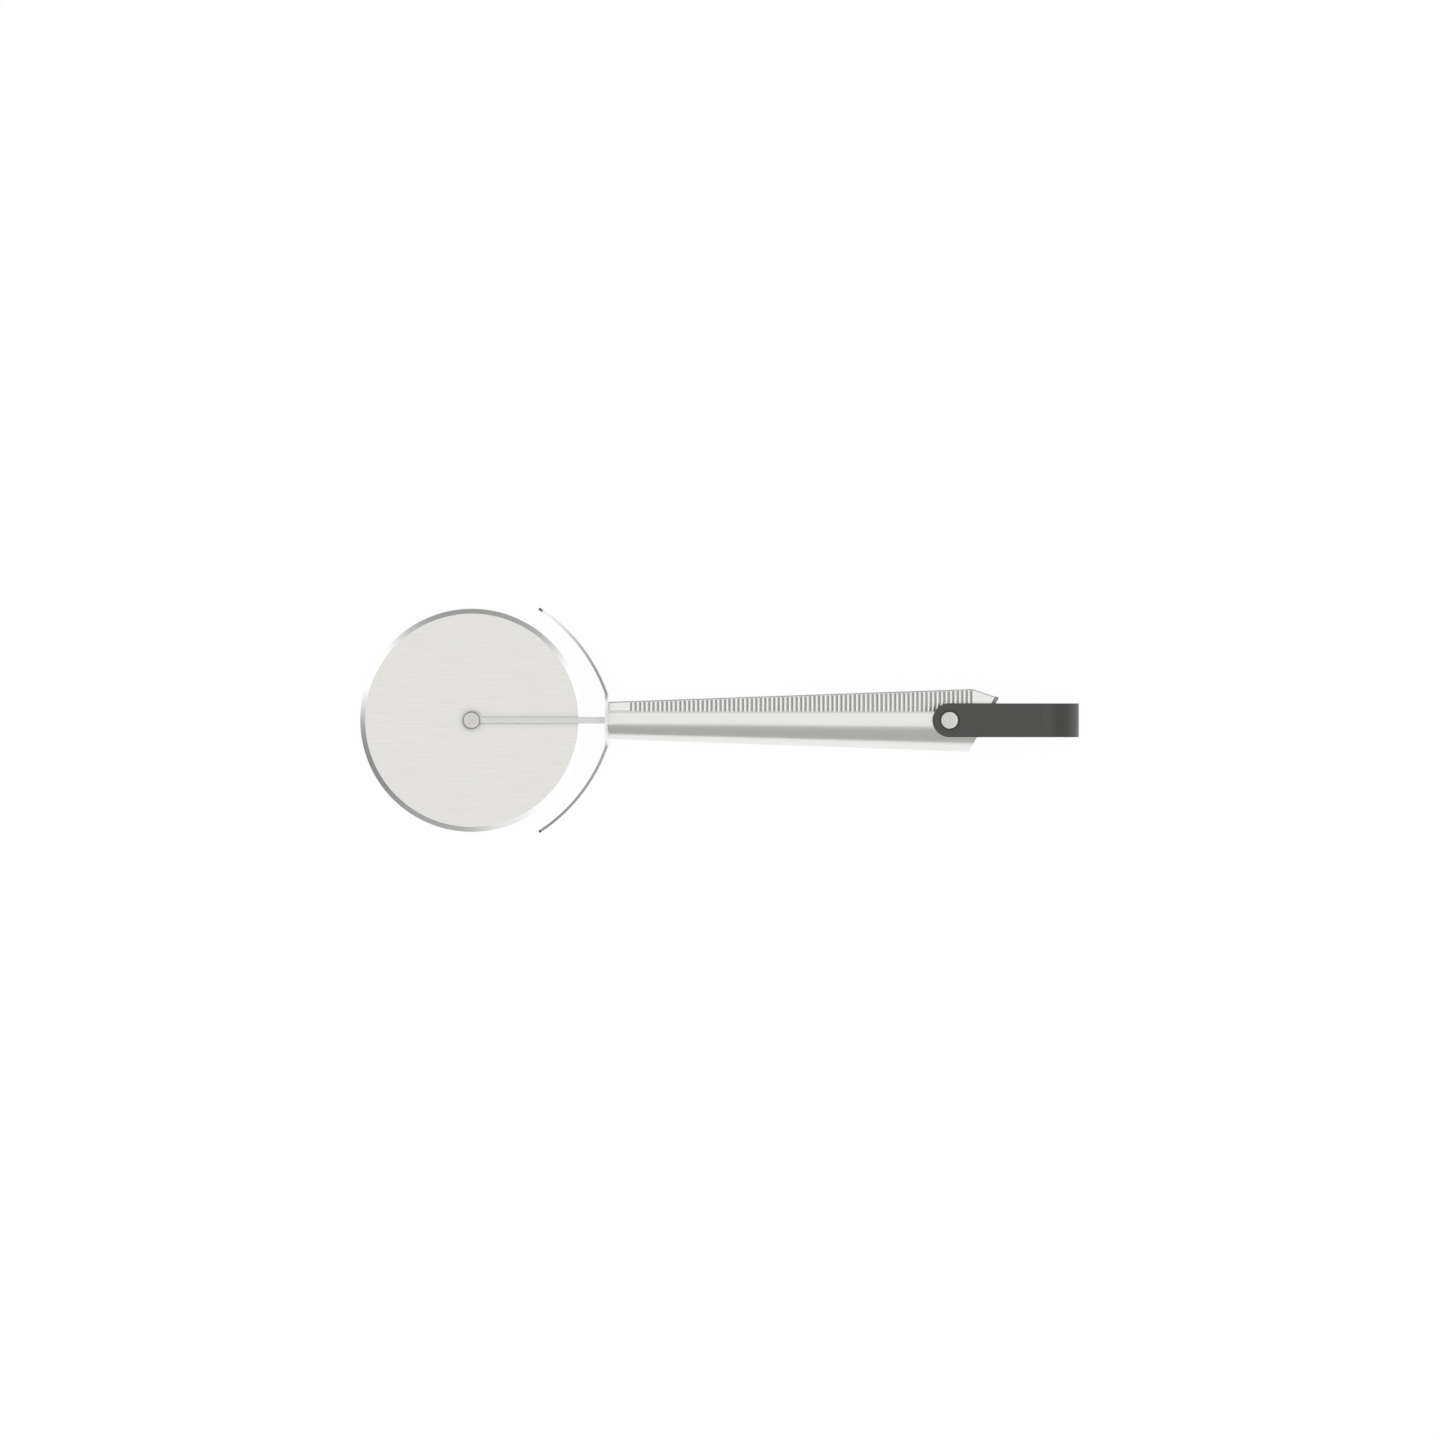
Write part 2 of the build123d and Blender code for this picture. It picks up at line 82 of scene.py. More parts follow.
def calcNode(tree, operation, first, second=None, third=None):
    node = tree.nodes.new("ShaderNodeMath")
    node.operation = operation
    for socket, value in zip(node.inputs, (first, second, third)):
        if value is None:
            continue
        if isinstance(value, (int, float)):
            socket.default_value = value
        else:
            tree.links.new(value, socket)
    return node.outputs[0]


def rangeNode(tree, value, fromLow, fromHigh, toLow, toHigh, kind="LINEAR"):
    node = tree.nodes.new("ShaderNodeMapRange")
    node.interpolation_type = kind
    for name, item in zip(("From Min", "From Max", "To Min", "To Max"), (fromLow, fromHigh, toLow, toHigh)):
        if isinstance(item, (int, float)):
            node.inputs[name].default_value = item
        else:
            tree.links.new(item, node.inputs[name])
    tree.links.new(value, node.inputs["Value"])
    return node.outputs["Result"]


def setCamera():
    camera = bpy.data.cameras.new("photoCamera")
    camera.sensor_width = view["sensor"]
    camera.lens = view["lens"]
    camera.clip_end = view["clipEnd"]
    camera.dof.use_dof = False
    holder = bpy.data.objects.new("photoCamera", camera)
    holder.location = (view["x"] * mm, view["y"] * mm, view["height"] * mm)
    bpy.context.scene.collection.objects.link(holder)
    bpy.context.scene.camera = holder
    bpy.context.scene.view_settings.view_transform = "Standard"
    print("camera set")


def setWorld():
    world = bpy.data.worlds.new("studio")
    world.use_nodes = True
    bpy.context.scene.world = world
    tree = world.node_tree
    tree.nodes.clear()
    direction = tree.nodes.new("ShaderNodeTexCoord").outputs["Generated"]
    split = tree.nodes.new("ShaderNodeSeparateXYZ")
    tree.links.new(direction, split.inputs[0])
    rise = calcNode(tree, "MAXIMUM", split.outputs["Z"], studio["leastRise"])
    east = calcNode(tree, "DIVIDE", split.outputs["X"], rise)
    north = calcNode(tree, "DIVIDE", split.outputs["Y"], rise)
    beyond = studio["farInside"]
    for eastPart, northPart, reach in studio["edges"]:
        side = calcNode(tree, "MULTIPLY_ADD", east, eastPart, calcNode(tree, "MULTIPLY", north, northPart))
        beyond = calcNode(tree, "MAXIMUM", calcNode(tree, "SUBTRACT", side, reach), beyond)
    northSquare = calcNode(tree, "MULTIPLY", north, north)
    tilt = calcNode(tree, "SQRT", calcNode(tree, "MULTIPLY_ADD", east, east, northSquare))
    sheet = rangeNode(tree, tilt, studio["middleEnd"], studio["sheetStart"], studio["middle"],
                      studio["sheet"], "SMOOTHSTEP")
    sideWalls = rangeNode(tree, east, *studio["wallsTurn"], studio["westWalls"], studio["eastWalls"])
    southWalls = rangeNode(tree, north, *studio["southTurn"], 0.0, studio["southWalls"])
    walls = calcNode(tree, "ADD", sideWalls, southWalls)
    light = rangeNode(tree, beyond, -studio["softness"], studio["softness"], sheet, walls, "SMOOTHSTEP")
    path = tree.nodes.new("ShaderNodeLightPath")
    plain = tree.nodes.new("ShaderNodeBackground")
    plain.inputs["Strength"].default_value = 1.0
    lit = tree.nodes.new("ShaderNodeBackground")
    lit.inputs["Color"].default_value = (1.0, 1.0, 1.0, 1.0)
    tree.links.new(light, lit.inputs["Strength"])
    mix = tree.nodes.new("ShaderNodeMixShader")
    tree.links.new(path.outputs["Is Camera Ray"], mix.inputs["Fac"])
    tree.links.new(lit.outputs[0], mix.inputs[1])
    tree.links.new(plain.outputs[0], mix.inputs[2])
    out = tree.nodes.new("ShaderNodeOutputWorld")
    tree.links.new(mix.outputs[0], out.inputs["Surface"])
    print("world set")


def setFloor():
    bpy.ops.mesh.primitive_plane_add(size=floorValues["size"], location=(0, 0, 0))
    floor = bpy.context.object
    floor.name = "studioFloor"
    material = bpy.data.materials.new("paleFloor")
    material.use_nodes = True
    tree = material.node_tree
    tree.nodes.clear()
    matt = tree.nodes.new("ShaderNodeBsdfDiffuse")
    matt.inputs["Color"].default_value = (floorValues["white"],) * 3 + (1.0,)
    glow = tree.nodes.new("ShaderNodeEmission")
    glow.inputs["Strength"].default_value = 1.0
    path = tree.nodes.new("ShaderNodeLightPath")
    mirrored = calcNode(tree, "MAXIMUM", path.outputs["Is Glossy Ray"], path.outputs["Is Transmission Ray"])
    seen = calcNode(tree, "MAXIMUM", path.outputs["Is Camera Ray"], mirrored)
    share = calcNode(tree, "MULTIPLY", seen, floorValues["glow"])
    mix = tree.nodes.new("ShaderNodeMixShader")
    tree.links.new(share, mix.inputs["Fac"])
    tree.links.new(matt.outputs[0], mix.inputs[1])
    tree.links.new(glow.outputs[0], mix.inputs[2])
    out = tree.nodes.new("ShaderNodeOutputMaterial")
    tree.links.new(mix.outputs[0], out.inputs["Surface"])
    floor.data.materials.append(material)
    print("floor laid")


def setLamp():
    lamp = bpy.data.lights.new("softLamp", "AREA")
    lamp.shape = "DISK"
    lamp.size = softLamp["size"]
    lamp.energy = softLamp["power"]
    holder = bpy.data.objects.new("softLamp", lamp)
    holder.location = (0, 0, softLamp["height"])
    holder.visible_camera = False
    holder.visible_glossy = False
    bpy.context.scene.collection.objects.link(holder)
    print("lamp set")


def clearSelection():
    if bpy.context.object and bpy.context.object.mode != "OBJECT":
        bpy.ops.object.mode_set(mode="OBJECT")
    bpy.ops.object.select_all(action="DESELECT")


def startPiece(name):
    piece = bpy.context.object
    piece.name = name
    piece.data.name = name
    bpy.ops.object.transform_apply(location=True, rotation=True, scale=True)
    bpy.ops.object.mode_set(mode="EDIT")
    return piece


def endPiece():
    bpy.ops.object.mode_set(mode="OBJECT")


def startChoice(kind):
    bpy.ops.mesh.select_mode(type=kind)
    bpy.ops.mesh.select_all(action="DESELECT")
    return bmesh.from_edit_mesh(bpy.context.object.data)


def selectFaces(test):
    cage = startChoice("FACE")
    cage.normal_update()
    for face in cage.faces:
        face.select_set(test(face.calc_center_median() / mm, face.normal))
    bmesh.update_edit_mesh(bpy.context.object.data)


def selectEdges(test):
    cage = startChoice("EDGE")
    for edge in cage.edges:
        edge.select_set(test(edge.verts[0].co / mm, edge.verts[1].co / mm))
    bmesh.update_edit_mesh(bpy.context.object.data)


def selectPoints(test):
    cage = startChoice("VERT")
    for vert in cage.verts:
        vert.select_set(test(vert.co / mm))
    cage.select_flush_mode()
    bmesh.update_edit_mesh(bpy.context.object.data)


def near(a, b, slack=0.01):
    return abs(a - b) < slack


def moveNorth(distance):
    bpy.ops.transform.translate(value=(0, distance * mm, 0))


def cutPlane(point, normal):
    # keeps what lies behind the plane
    bpy.ops.mesh.select_mode(type="VERT")
    bpy.ops.mesh.select_all(action="SELECT")
    bpy.ops.mesh.bisect(plane_co=Vector(point) * mm, plane_no=normal, use_fill=True,
                        clear_outer=True, threshold=slacks["cut"])


def tidyMesh():
    bpy.ops.mesh.select_mode(type="VERT")
    bpy.ops.mesh.select_all(action="SELECT")
    bpy.ops.mesh.remove_doubles(threshold=slacks["merge"])
    bpy.ops.mesh.normals_make_consistent(inside=False)


def applyModifier(piece, kind, **settings):
    modifier = piece.modifiers.new(kind.lower(), kind)
    for name, value in settings.items():
        setattr(modifier, name, value)
    clearSelection()
    bpy.context.view_layer.objects.active = piece
    piece.select_set(True)
    bpy.ops.object.modifier_apply(modifier=modifier.name)


def carve(piece, tool, operation="DIFFERENCE"):
    applyModifier(piece, "BOOLEAN", object=tool, operation=operation, solver="EXACT")
    bpy.data.objects.remove(tool)


def softenRims(piece, width, segments=3, angle=40.0):
    applyModifier(piece, "BEVEL", width=width * mm, segments=segments, limit_method="ANGLE",
                  angle_limit=math.radians(angle), harden_normals=False)


def smooth(piece, angle=35.0):
    clearSelection()
    bpy.context.view_layer.objects.active = piece
    piece.select_set(True)
    bpy.ops.object.shade_smooth_by_angle(angle=math.radians(angle))
    # flat faces keep their own normals beside the rounded rims
    applyModifier(piece, "WEIGHTED_NORMAL", keep_sharp=True, weight=100)


def drawLine(name, points):
    # a chain of edges, drawn point by point from a plane merged to one point
    clearSelection()
    first = Vector(points[0]) * mm
    bpy.ops.mesh.primitive_plane_add(size=mm, location=first)
    piece = startPiece(name)
    bpy.ops.mesh.merge(type="CENTER")
    here = first
    for point in points[1:]:
        there = Vector(point) * mm
        bpy.ops.mesh.extrude_region_move(TRANSFORM_OT_translate={"value": there - here})
        here = there
    return piece


def turnProfile(name, profile, x, rim, segments):
    # profile is (radius, height above the middle plane), turned about the pin's axis;
    # one that starts off the axis is closed to a ring
    points = [(x + radius, 0, places["midZ"] + height) for radius, height in profile]
    if profile[0][0] > 0:
        points.append(points[0])
    piece = drawLine(name, points)
    bpy.ops.mesh.select_all(action="SELECT")
    bpy.ops.mesh.spin(steps=turnSteps, angle=2 * math.pi, center=(x * mm, 0, places["midZ"] * mm),
                      axis=(0, 0, 1))
    tidyMesh()
    endPiece()
    softenRims(piece, rim, segments)
    smooth(piece)
    return piece


def fillOutline(name, points, normalShift):
    # a flat outline, filled and pushed out to a plate
    piece = drawLine(name, points)
    ends = [Vector(points[0]), Vector(points[-1])]
    selectPoints(lambda p: any((p - end).length < slacks["lineEnd"] for end in ends))
    bpy.ops.mesh.edge_face_add()
    bpy.ops.mesh.select_all(action="SELECT")
    bpy.ops.mesh.edge_face_add()
    bpy.ops.mesh.extrude_region_move(TRANSFORM_OT_translate={"value": Vector(normalShift) * mm})
    tidyMesh()
    return piece


# the handle's tapered form
handleForm = {
    "frontHeight": 16.8,
    "rearHeight": 29.1,
    "frontWidth": 16.0,
    "rearWidth": 27.8,
    "length": 174.4,
    "sides": 96,
    "endAngle": 61.0,
    "slopeFall": 3.984,
    "slopeLength": 11.8,
    "capSetback": 1.75,
    "past": 5.0,
    "topEdgeY": 5.5,
    "edgeSlack": 0.05,
}


def halfSize(x, front, rear):
    share = (x - places["shellFrontX"]) / handleForm["length"]
    return (front + share * (rear - front)) / 2


def halfHeight(x):
    return halfSize(x, handleForm["frontHeight"], handleForm["rearHeight"])


def halfWidth(x):
    return halfSize(x, handleForm["frontWidth"], handleForm["rearWidth"])


def endX(y, setback=0.0):
    angle = math.radians(handleForm["endAngle"])
    return places["shellEndX"] + (y - places["slopeEndY"]) / math.tan(angle) - setback / math.sin(angle)


def cutEnd(setback, keepFront=True):
    # the oblique end
    angle = math.radians(handleForm["endAngle"])
    normal = Vector((math.sin(angle), -math.cos(angle), 0))
    cutPlane((endX(0, setback), 0, 0), normal if keepFront else -normal)


def cutSlope(drop=0.0):
    # the slope down to the end
    normal = Vector((handleForm["slopeFall"], handleForm["slopeLength"], 0)).normalized()
    cutPlane((places["slopeStartX"], halfHeight(places["slopeStartX"]) - drop, 0), normal)


def handleBar(name, lowX, highX, side=0.0, top=0.0, back=0.0):
    # a solid length of the handle's form, drawn in by the insets: straight above, a half oval below
    clearSelection()
    midZ = places["midZ"]
    bpy.ops.mesh.primitive_cone_add(
        vertices=handleForm["sides"], depth=(highX - lowX) * mm,
        radius1=(halfWidth(lowX) - side) * mm, radius2=(halfWidth(highX) - side) * mm,
        location=((lowX + highX) / 2 * mm, 0, midZ * mm), rotation=(0, math.pi / 2, 0))
    piece = startPiece(name)
    for x in (lowX, highX):
        selectPoints(lambda p: near(p.x, x))
        ratio = (halfHeight(x) - back) / (halfWidth(x) - side)
        bpy.ops.transform.resize(value=(1, ratio, 1), center_override=(x * mm, 0, midZ * mm))
    cutPlane((0, 0, 0), (0, 1, 0))
    highTop, lowTop = halfHeight(highX) - top, halfHeight(lowX) - top
    selectFaces(lambda c, n: n.y > facing and near(c.y, 0))
    bpy.ops.mesh.extrude_region_move(TRANSFORM_OT_translate={"value": (0, highTop * mm, 0)})
    selectPoints(lambda p: near(p.x, lowX) and near(p.y, highTop))
    moveNorth(lowTop - highTop)
    tidyMesh()
    return piece


def roundTopEdges(radius):
    # the two long edges along the top and the slope
    def atTopEdge(p):
        across = abs(p.z - places["midZ"])
        return p.y > handleForm["topEdgeY"] and near(across, halfWidth(p.x), handleForm["edgeSlack"])

    selectEdges(lambda a, b: atTopEdge(a) and atTopEdge(b) and abs(a.x - b.x) > 2)
    bpy.ops.mesh.bevel(offset=radius * mm, segments=5, affect="EDGES")


def pin(name, radius, lowZ, highZ, x, sides=64):
    # a plain round tool for cutting holes along the pins' axes
    clearSelection()
    bpy.ops.mesh.primitive_cylinder_add(vertices=sides, radius=radius * mm, depth=(highZ - lowZ) * mm,
                                        location=(x * mm, 0, (places["midZ"] + (lowZ + highZ) / 2) * mm))
    tool = bpy.context.object
    tool.name = name
    return tool


def longPin(radius, middleX, length):
    # a plain round bar along the handle
    clearSelection()
    bpy.ops.mesh.primitive_cylinder_add(
        vertices=48, radius=radius * mm, depth=length * mm,
        location=(middleX * mm, 0, places["midZ"] * mm), rotation=(0, math.pi / 2, 0))
    return bpy.context.object


def fit(piece, values):
    # what the piece rides on, stands for and takes its finish from
    for material in values["finish"]:
        if material.name not in piece.data.materials:
            piece.data.materials.append(material)
    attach(piece, values["body"])
    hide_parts(*values["nodes"])
    print(values["name"], len(piece.data.polygons), "faces")


# the noises behind the finishes: scratches, hand marks and fine grain
noises = {
    "lineDetail": 4.0,
    "lineRoughness": 0.65,
    "lineContrast": (0.28, 0.72),
    "patchDetail": 3.0,
    "patchContrast": (0.35, 0.65),
    "dustDetail": 2.0,
    "dustFineness": 2.3,
}


# node groups shared by the finishes
def newGroup(name, inputs, outputs):
    group = bpy.data.node_groups.new(name, "ShaderNodeTree")
    for label, kind, value in inputs:
        socket = group.interface.new_socket(name=label, in_out="INPUT", socket_type=kind)
        if value is not None:
            socket.default_value = value
    for label, kind in outputs:
        group.interface.new_socket(name=label, in_out="OUTPUT", socket_type=kind)
    return group, group.nodes.new("NodeGroupInput"), group.nodes.new("NodeGroupOutput")


def makeBrushing():
    # long fine scratches along X
    group, start, end = newGroup(
        "brushing",
        [("Vector", "NodeSocketVector", None), ("Length", "NodeSocketFloat", 0.02),
         ("Width", "NodeSocketFloat", 0.0006)],
        [("Lines", "NodeSocketFloat")])
    size = group.nodes.new("ShaderNodeCombineXYZ")
    group.links.new(start.outputs["Length"], size.inputs["X"])
    group.links.new(start.outputs["Width"], size.inputs["Y"])
    group.links.new(start.outputs["Width"], size.inputs["Z"])
    scaled = group.nodes.new("ShaderNodeVectorMath")
    scaled.operation = "DIVIDE"
    group.links.new(start.outputs["Vector"], scaled.inputs[0])
    group.links.new(size.outputs[0], scaled.inputs[1])
    fine = group.nodes.new("ShaderNodeTexNoise")
    fine.inputs["Scale"].default_value = 1.0
    fine.inputs["Detail"].default_value = noises["lineDetail"]
    fine.inputs["Roughness"].default_value = noises["lineRoughness"]
    group.links.new(scaled.outputs[0], fine.inputs["Vector"])
    lines = rangeNode(group, fine.outputs["Fac"], *noises["lineContrast"], 0.0, 1.0)
    group.links.new(lines, end.inputs["Lines"])
    return group


def makeHandling():
    # soft dull patches from hands and washing
    group, start, end = newGroup(
        "handling",
        [("Vector", "NodeSocketVector", None), ("Size", "NodeSocketFloat", 0.02)],
        [("Patches", "NodeSocketFloat")])
    scale = calcNode(group, "DIVIDE", 1.0, start.outputs["Size"])
    soft = group.nodes.new("ShaderNodeTexNoise")
    soft.inputs["Detail"].default_value = noises["patchDetail"]
    group.links.new(start.outputs["Vector"], soft.inputs["Vector"])
    group.links.new(scale, soft.inputs["Scale"])
    patches = rangeNode(group, soft.outputs["Fac"], *noises["patchContrast"], 0.0, 1.0, "SMOOTHSTEP")
    group.links.new(patches, end.inputs["Patches"])
    return group


def makeGrain():
    # fine pits and bumps, as cast or moulded
    group, start, end = newGroup(
        "grain",
        [("Vector", "NodeSocketVector", None), ("Size", "NodeSocketFloat", 0.0004)],
        [("Grain", "NodeSocketFloat")])
    scale = calcNode(group, "DIVIDE", 1.0, start.outputs["Size"])
    cells = group.nodes.new("ShaderNodeTexVoronoi")
    cells.feature = "SMOOTH_F1"
    group.links.new(start.outputs["Vector"], cells.inputs["Vector"])
    group.links.new(scale, cells.inputs["Scale"])
    dust = group.nodes.new("ShaderNodeTexNoise")
    dust.inputs["Detail"].default_value = noises["dustDetail"]
    group.links.new(start.outputs["Vector"], dust.inputs["Vector"])
    dustScale = calcNode(group, "MULTIPLY", scale, noises["dustFineness"])
    group.links.new(dustScale, dust.inputs["Scale"])
    halfDust = calcNode(group, "MULTIPLY", dust.outputs["Fac"], 0.5)
    both = calcNode(group, "MULTIPLY_ADD", cells.outputs["Distance"], 0.5, halfDust)
    group.links.new(both, end.inputs["Grain"])
    return group


groups = {"brushing": makeBrushing(), "handling": makeHandling(), "grain": makeGrain()}


def placeGroup(tree, name, vector, **settings):
    node = tree.nodes.new("ShaderNodeGroup")
    node.node_tree = groups[name]
    tree.links.new(vector, node.inputs["Vector"])
    for label, value in settings.items():
        node.inputs[label.capitalize()].default_value = value
    return node


def tint(tree, factor, dark, light):
    mix = tree.nodes.new("ShaderNodeMix")
    mix.data_type = "RGBA"
    mix.inputs["A"].default_value = tuple(dark) + (1.0,)
    mix.inputs["B"].default_value = tuple(light) + (1.0,)
    tree.links.new(factor, mix.inputs["Factor"])
    return mix.outputs["Result"]


def bump(tree, height, distance):
    node = tree.nodes.new("ShaderNodeBump")
    node.inputs["Strength"].default_value = 1.0
    node.inputs["Distance"].default_value = distance
    tree.links.new(height, node.inputs["Height"])
    return node.outputs["Normal"]


def startFinish(name):
    material = bpy.data.materials.new(name)
    material.use_nodes = True
    tree = material.node_tree
    place = tree.nodes.new("ShaderNodeTexCoord").outputs["Object"]
    return material, tree, tree.nodes["Principled BSDF"], place


def metalFinish(name, values):
    material, tree, shader, place = startFinish(name)
    shader.inputs["Metallic"].default_value = 1.0
    lines = placeGroup(tree, "brushing", place, length=values["lineLength"], width=values["lineWidth"])
    patches = placeGroup(tree, "handling", place, size=values["patchSize"])
    dark = [c * (1 - values["lineTone"]) for c in values["colour"]]
    tree.links.new(tint(tree, lines.outputs["Lines"], dark, values["colour"]), shader.inputs["Base Color"])
    rough = calcNode(tree, "MULTIPLY_ADD", lines.outputs["Lines"], values["lineRough"], values["rough"])
    rough = calcNode(tree, "MULTIPLY_ADD", patches.outputs["Patches"], values["patchRough"], rough)
    tree.links.new(rough, shader.inputs["Roughness"])
    tree.links.new(bump(tree, lines.outputs["Lines"], values["lineDepth"]), shader.inputs["Normal"])
    return material


def grainyMetal(name, values):
    material, tree, shader, place = startFinish(name)
    shader.inputs["Metallic"].default_value = 1.0
    grain = placeGroup(tree, "grain", place, size=values["grainSize"])
    patches = placeGroup(tree, "handling", place, size=values["patchSize"])
    dark = [c * (1 - values["grainTone"]) for c in values["colour"]]
    tree.links.new(tint(tree, grain.outputs["Grain"], dark, values["colour"]), shader.inputs["Base Color"])
    rough = calcNode(tree, "MULTIPLY_ADD", patches.outputs["Patches"], values["patchRough"], values["rough"])
    tree.links.new(rough, shader.inputs["Roughness"])
    tree.links.new(bump(tree, grain.outputs["Grain"], values["grainDepth"]), shader.inputs["Normal"])
    return material


def mouldedFinish(name, values):
    material, tree, shader, place = startFinish(name)
    shader.inputs["Specular IOR Level"].default_value = values["shine"]
    grain = placeGroup(tree, "grain", place, size=values["grainSize"])
    patches = placeGroup(tree, "handling", place, size=values["patchSize"])
    worn = [c * values["wornTone"] for c in values["colour"]]
    tree.links.new(tint(tree, patches.outputs["Patches"], values["colour"], worn), shader.inputs["Base Color"])
    rough = calcNode(tree, "MULTIPLY_ADD", patches.outputs["Patches"], values["patchRough"], values["rough"])
    tree.links.new(rough, shader.inputs["Roughness"])
    tree.links.new(bump(tree, grain.outputs["Grain"], values["grainDepth"]), shader.inputs["Normal"])
    return material


finishes = {
    "bladeFace": metalFinish("bladeFaceSteel", {
        "colour": (0.84, 0.83, 0.79), "rough": 0.24, "lineLength": 0.016, "lineWidth": 0.0007,
        "lineTone": 0.065, "lineRough": 0.03, "lineDepth": 0.0000006, "patchSize": 0.03,
        "patchRough": 0.01}),
    "bladeBevel": metalFinish("groundBevelSteel", {
        "colour": (0.85, 0.845, 0.83), "rough": 0.10, "lineLength": 0.004, "lineWidth": 0.0006,
        "lineTone": 0.02, "lineRough": 0.02, "lineDepth": 0.0000005, "patchSize": 0.02,
        "patchRough": 0.02}),
    "handleSteel": metalFinish("satinHandleSteel", {
        "colour": (0.865, 0.86, 0.84), "rough": 0.22, "lineLength": 0.03, "lineWidth": 0.0005,
        "lineTone": 0.03, "lineRough": 0.05, "lineDepth": 0.000001, "patchSize": 0.025,
        "patchRough": 0.03}),
    "gripMetal": grainyMetal("satinGripMetal", {
        "colour": (0.89, 0.885, 0.87), "rough": 0.24, "grainSize": 0.0003, "grainTone": 0.03,
        "grainDepth": 0.000002, "patchSize": 0.02, "patchRough": 0.04}),
    "guardSteel": metalFinish("polishedGuardSteel", {
        "colour": (0.84, 0.835, 0.82), "rough": 0.10, "lineLength": 0.01, "lineWidth": 0.0008,
        "lineTone": 0.02, "lineRough": 0.03, "lineDepth": 0.000001, "patchSize": 0.02,
        "patchRough": 0.03}),
    # painted shade: a near-black rough finish for the guard's narrow edge at its tips, in place of the shadowed
    # floor that edge reflects there
    "paintedShadeEdge": metalFinish("paintedShadeGuardEdge", {
        "colour": (0.10, 0.10, 0.098), "rough": 0.45, "lineLength": 0.002, "lineWidth": 0.0004,
        "lineTone": 0.1, "lineRough": 0.1, "lineDepth": 0.000001, "patchSize": 0.004,
        "patchRough": 0.05}),
    "forkSteel": metalFinish("satinForkSteel", {
        "colour": (0.73, 0.725, 0.71), "rough": 0.24, "lineLength": 0.012, "lineWidth": 0.0004,
        "lineTone": 0.04, "lineRough": 0.04, "lineDepth": 0.000001, "patchSize": 0.01,
        "patchRough": 0.03}),
    "rivetSteel": grainyMetal("struckRivetSteel", {
        "colour": (0.79, 0.78, 0.76), "rough": 0.24, "grainSize": 0.0009, "grainTone": 0.30,
        "grainDepth": 0.00004, "patchSize": 0.004, "patchRough": 0.06}),
    "platedSteel": grainyMetal("zincPlatedSteel", {
        "colour": (0.62, 0.62, 0.61), "rough": 0.3, "grainSize": 0.0008, "grainTone": 0.08,
        "grainDepth": 0.00001, "patchSize": 0.006, "patchRough": 0.08}),
    "nylon": mouldedFinish("whiteNylon", {
        "colour": (0.80, 0.80, 0.77), "rough": 0.45, "shine": 0.45, "grainSize": 0.0004,
        "grainDepth": 0.00001, "patchSize": 0.006, "patchRough": 0.08, "wornTone": 0.94}),
    "darkPlastic": mouldedFinish("darkCapPlastic", {
        "colour": (0.22, 0.22, 0.215), "rough": 0.42, "shine": 0.45, "grainSize": 0.0003,
        "grainDepth": 0.00001, "patchSize": 0.01, "patchRough": 0.06, "wornTone": 1.1}),
    "rubber": mouldedFinish("darkStrapRubber", {
        "colour": (0.043, 0.043, 0.041), "rough": 0.33, "shine": 0.44, "grainSize": 0.00035,
        "grainDepth": 0.000012, "patchSize": 0.018, "patchRough": 0.06, "wornTone": 1.08}),
}

carriedFinishes = {
    "hub_bush_upper": "rivetSteel", "hub_bush_lower": "rivetSteel",
    "thrust_washer_upper": "nylon", "thrust_washer_lower": "nylon",
    "tang_washer": "platedSteel", "tang_nut": "platedSteel", "strap_spacer": "platedSteel",
    "strap_washer_upper": "nylon", "strap_washer_lower": "nylon",
    "blade": "bladeFace", "guard": "guardSteel", "fork": "forkSteel", "handle_shell": "handleSteel",
    "grip_insert": "gripMetal", "front_plug": "gripMetal", "end_cap": "darkPlastic",
    "axle_pin": "rivetSteel", "axle_pin_cap": "rivetSteel", "strap_rivet": "rivetSteel",
    "strap_rivet_cap": "rivetSteel", "strap": "rubber",
}


bladeDisc = {
    "name": "bladeDisc", "body": "wheel", "nodes": ["blade"], "slot": "brushed_blade_steel",
    "finish": [finishes["bladeFace"], finishes["bladeBevel"]],
    "radius": 50.0, "thickness": 1.2, "edge": 0.15, "bevel": 2.2, "bore": 3.25, "sides": 256,
    "bevelNormals": (0.2, 0.995),
}


def makeBlade(values):
    clearSelection()
    bpy.ops.mesh.primitive_cylinder_add(
        vertices=values["sides"], radius=values["radius"] * mm, depth=values["edge"] * mm,
        location=(places["axleX"] * mm, 0, places["midZ"] * mm))
    piece = startPiece(values["name"])
    rise = (values["thickness"] - values["edge"]) / 2
    flat = values["radius"] - values["bevel"] - values["bore"]
    for side in (1, -1):
        selectFaces(lambda c, n: n.z * side > facing)
        bpy.ops.mesh.inset(thickness=values["bevel"] * mm, depth=rise * mm)
        bpy.ops.mesh.inset(thickness=flat * mm, depth=0)
        bpy.ops.mesh.delete(type="FACE")
    centre = Vector((places["axleX"], 0, places["midZ"]))
    nearBore = values["bore"] + 1
    selectEdges(lambda a, b: (a - centre).length < nearBore and (b - centre).length < nearBore
                and near(a.z, b.z))
    bpy.ops.mesh.bridge_edge_loops()
    tidyMesh()
    for material in values["finish"]:
        piece.data.materials.append(material)
    # the bevels and the narrow edge take the second finish
    steep, level = values["bevelNormals"]
    selectFaces(lambda c, n: steep < abs(n.z) < level or (c - centre).length > values["radius"] - 1)
    piece.active_material_index = 1
    bpy.ops.object.material_slot_assign()
    endPiece()
    smooth(piece, angle=8)
    fit(piece, values)


